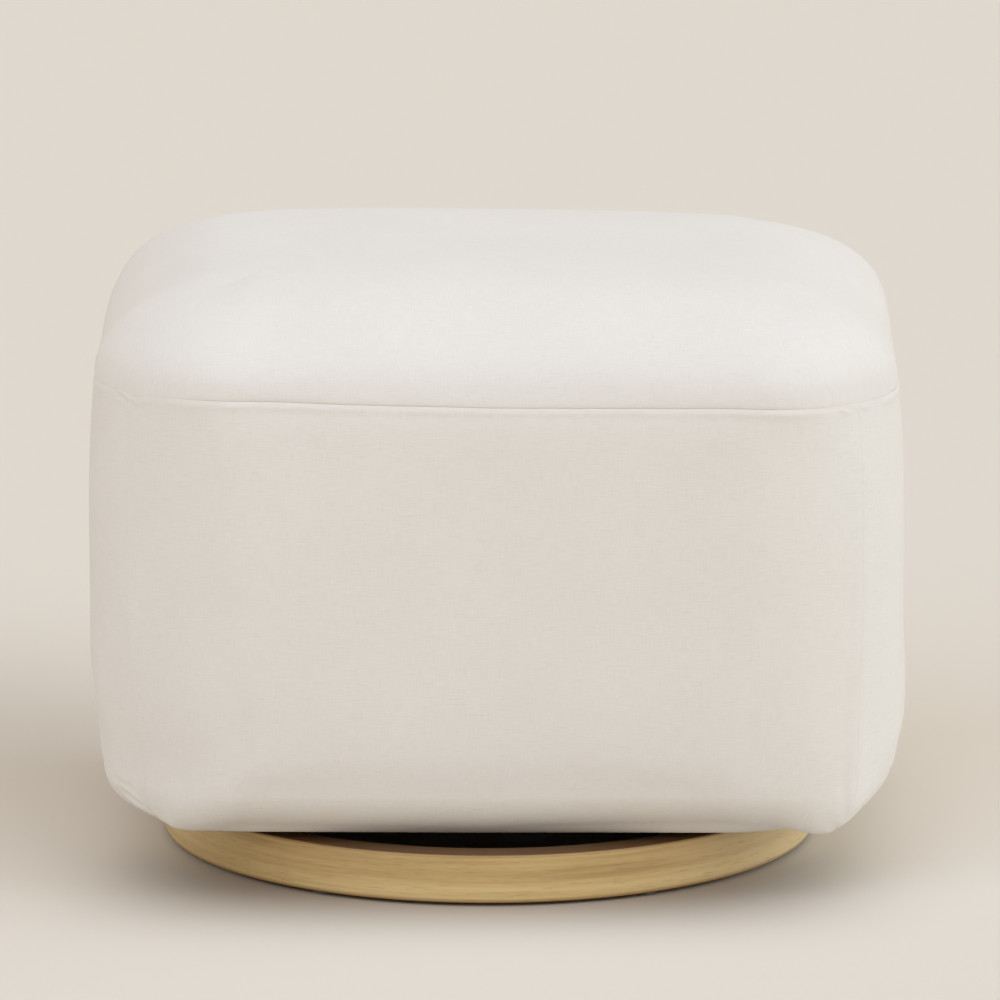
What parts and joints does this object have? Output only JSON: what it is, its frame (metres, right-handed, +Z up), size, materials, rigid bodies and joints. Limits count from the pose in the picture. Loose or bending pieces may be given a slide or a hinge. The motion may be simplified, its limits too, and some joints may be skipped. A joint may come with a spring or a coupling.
{
  "type": "glider ottoman",
  "caption": "Upholstered rounded-box glider ottoman in ivory linen-look fabric that swings on four links inside a round light wood ring base.",
  "frame": {"origin": "on the floor, at the centre of the ring base", "axes": "+X to the right and along the long side, +Y to the back, +Z up; the front faces -Y and the seat glides along Y"},
  "size_m": [0.6, 0.5, 0.4519],
  "materials": {
    "light_wood": "clear satin lacquer, grain along the ring",
    "felt": "dense felt",
    "black_steel": "satin black powder coat",
    "zinc_steel": "zinc plated",
    "nylon": "natural nylon",
    "rubber": "matt",
    "plywood": "raw plywood",
    "softwood": "raw planed softwood",
    "fibreboard": "raw hardboard",
    "foam": "open-cell foam",
    "wadding": "polyester fibre",
    "ivory_linen": "plain linen-look weave with fine slubs",
    "black_lining": "thin nonwoven"
  },
  "bodies": {
    "base": {"base_ring": "light_wood", "floor_glides": "felt", "cross_bar_front": "black_steel", "cross_bar_back": "black_steel", "ring_screws": "zinc_steel", "stand_bolts": "zinc_steel", "stand_nuts": "zinc_steel", "stand_right": "black_steel", "stand_left": "black_steel", "stand_stretcher": "black_steel", "upper_pivot_bolts": "zinc_steel", "upper_pivot_washers": "zinc_steel", "upper_pivot_nuts": "zinc_steel", "travel_buffers": "rubber", "buffer_screws": "zinc_steel"},
    "front_links": {"front_link_bushes": "nylon", "front_link_left": "black_steel", "front_link_right": "black_steel"},
    "rear_links": {"rear_link_bushes": "nylon", "rear_link_left": "black_steel", "rear_link_right": "black_steel"},
    "seat": {"back_board": "plywood", "back_foam": "foam", "base_board": "plywood", "corner_formers": "fibreboard", "corner_posts": "softwood", "cover_back": "ivory_linen", "cover_front": "ivory_linen", "cover_left": "ivory_linen", "cover_right": "ivory_linen", "cover_top": "ivory_linen", "cross_rail_back": "softwood", "cross_rail_front": "softwood", "deck_bearers": "softwood", "deck_board": "plywood", "dust_cover": "black_lining", "front_board": "plywood", "front_foam": "foam", "left_board": "plywood", "left_foam": "foam", "lower_pivot_bolts": "zinc_steel", "lower_pivot_nuts": "zinc_steel", "rail_bolts": "zinc_steel", "rail_nuts": "zinc_steel", "right_board": "plywood", "right_foam": "foam", "seat_rail_left": "black_steel", "seat_rail_right": "black_steel", "staples": "zinc_steel", "top_foam": "foam", "top_wadding": "wadding"}
  },
  "joints": [
    {"name": "glide", "type": "hinge", "parent": "base", "child": "front_links", "pos_m": [0, -0.05502, 0.2352], "axis": [1, 0, 0], "range_deg": [-18, 18]},
    {"name": "seat_level", "type": "hinge", "parent": "front_links", "child": "seat", "pos_m": [0, -0.05502, 0.0852], "axis": [1, 0, 0], "range_deg": [-18, 18]},
    {"name": "rear_swing", "type": "hinge", "parent": "base", "child": "rear_links", "pos_m": [0, 0.05502, 0.2352], "axis": [1, 0, 0], "range_deg": [-18, 18]}
  ],
  "couplings": [
    {"joint": "seat_level", "follows": "glide", "ratio": -1},
    {"joint": "rear_swing", "follows": "glide", "ratio": 1}
  ]
}
